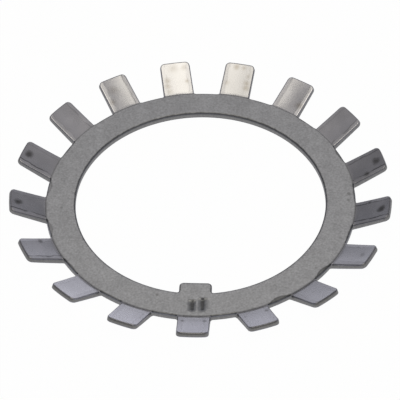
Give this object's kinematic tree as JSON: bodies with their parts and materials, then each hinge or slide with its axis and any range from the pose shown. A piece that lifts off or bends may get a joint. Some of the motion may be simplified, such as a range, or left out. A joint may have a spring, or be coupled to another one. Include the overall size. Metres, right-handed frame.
{
  "type": "bearing lock washer",
  "caption": "Flat sheet steel ring with a keyway tang in its bore and a row of tabs bent up round its rim, which locks a slotted bearing nut on a shaft.",
  "frame": {"origin": "on the bore's axis, at the underside of the flat ring", "axes": "+Z along the bore's axis towards the side that the tabs are bent to, tang on the -Y side of the bore"},
  "size_m": [0.0688, 0.0685, 0.0038],
  "materials": {
    "steel_sheet": "tumbled matte grey ring with burnished tabs"
  },
  "bodies": {
    "root": {"lock_washer": "steel_sheet"}
  },
  "joints": []
}
